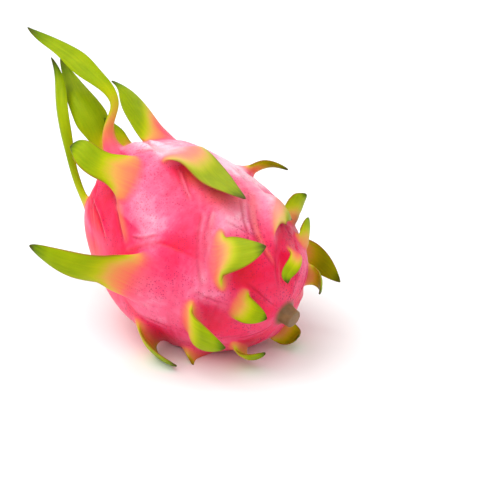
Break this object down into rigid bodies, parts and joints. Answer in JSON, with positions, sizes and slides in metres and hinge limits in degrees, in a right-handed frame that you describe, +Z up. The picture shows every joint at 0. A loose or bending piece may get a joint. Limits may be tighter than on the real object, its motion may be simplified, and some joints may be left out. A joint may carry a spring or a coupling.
{
  "type": "dragon fruit",
  "caption": "Whole pink dragon fruit lying on its side, with green leafy scales, long at the crown and bent back near the cut stem.",
  "frame": {"origin": "on the surface that the fruit lies on, in its flat resting spot, straight below its centre of mass", "axes": "+Z up, +X to the right and +Y away from the front; the crown end points to -X and +Y and 16 degrees up, the stem end to +X and -Y"},
  "size_m": [0.1594, 0.1506, 0.1399],
  "materials": {
    "peel": "smooth waxy fruit peel, pink, with scales that run from coral over yellow to green"
  },
  "bodies": {
    "root": {"dragon_fruit": "peel"}
  },
  "joints": []
}
